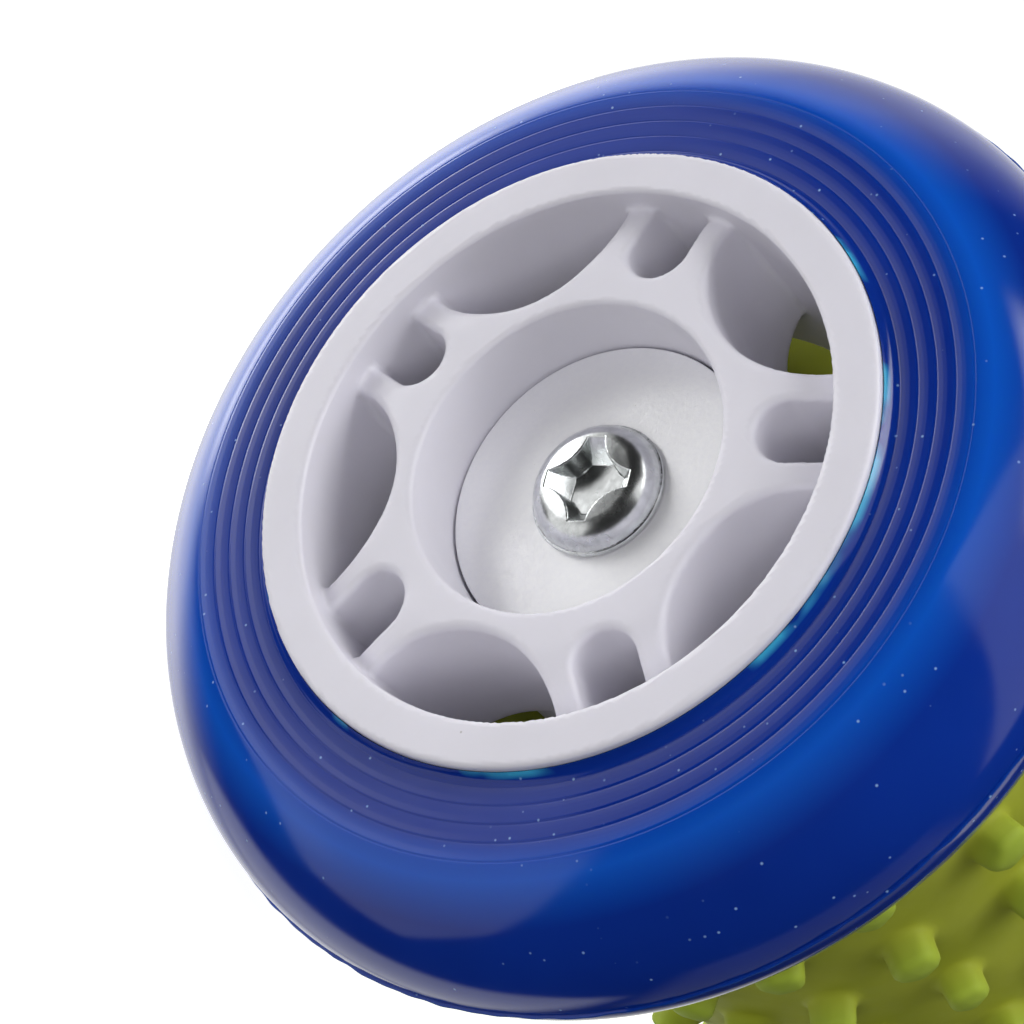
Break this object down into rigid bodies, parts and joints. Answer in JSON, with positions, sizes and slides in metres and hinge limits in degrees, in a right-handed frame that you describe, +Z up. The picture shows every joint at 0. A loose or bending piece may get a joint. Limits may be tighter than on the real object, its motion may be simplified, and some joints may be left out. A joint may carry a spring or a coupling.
{
  "type": "foot massage roller",
  "caption": "Soft nubbed massage drum between two soft-tyred spoked wheels, all turning freely on one steel axle tube.",
  "frame": {"origin": "middle of the bounding box's bottom face, on the floor under the middle of the axle", "axes": "+Z up, X along the axle with the left wheel at -X, Y across it in the rolling direction"},
  "size_m": [0.163, 0.068, 0.0679],
  "materials": {
    "white_abs": "off-white moulded plastic, satin, faint mould grain",
    "blue_polyurethane": "glossy cast blue polyurethane, slightly translucent",
    "nylon": "natural nylon, satin",
    "zinc_plate": "bright zinc plate, fine satin speckle",
    "nickel_plate": "bright plated steel, polished",
    "grey_plastic": "grey moulded plastic, matte",
    "ground_steel": "ground steel tube",
    "green_vinyl": "yellow-green soft vinyl, semi-gloss"
  },
  "bodies": {
    "axle_assembly": {"axle": "ground_steel", "left_threaded_insert": "zinc_plate", "right_threaded_insert": "zinc_plate", "left_retaining_washer": "zinc_plate", "right_retaining_washer": "zinc_plate", "left_retaining_screw": "nickel_plate", "right_retaining_screw": "nickel_plate", "left_thrust_washer": "nylon", "right_thrust_washer": "nylon"},
    "left_wheel": {"left_core": "white_abs", "left_tyre": "blue_polyurethane", "left_wheel_bush": "nylon"},
    "right_wheel": {"right_core": "white_abs", "right_tyre": "blue_polyurethane", "right_wheel_bush": "nylon"},
    "drum": {"drum_skin": "green_vinyl", "drum_tube": "grey_plastic", "left_end_plug": "grey_plastic", "right_end_plug": "grey_plastic", "left_drum_bush": "nylon", "right_drum_bush": "nylon"}
  },
  "joints": [
    {"name": "left_wheel_spin", "type": "hinge", "parent": "axle_assembly", "child": "left_wheel", "pos_m": [-0.072, 0, 0.03397], "axis": [1, 0, 0], "continuous": true},
    {"name": "right_wheel_spin", "type": "hinge", "parent": "axle_assembly", "child": "right_wheel", "pos_m": [0.072, 0, 0.03397], "axis": [1, 0, 0], "continuous": true},
    {"name": "drum_spin", "type": "hinge", "parent": "axle_assembly", "child": "drum", "pos_m": [0, 0, 0.03397], "axis": [1, 0, 0], "continuous": true}
  ]
}
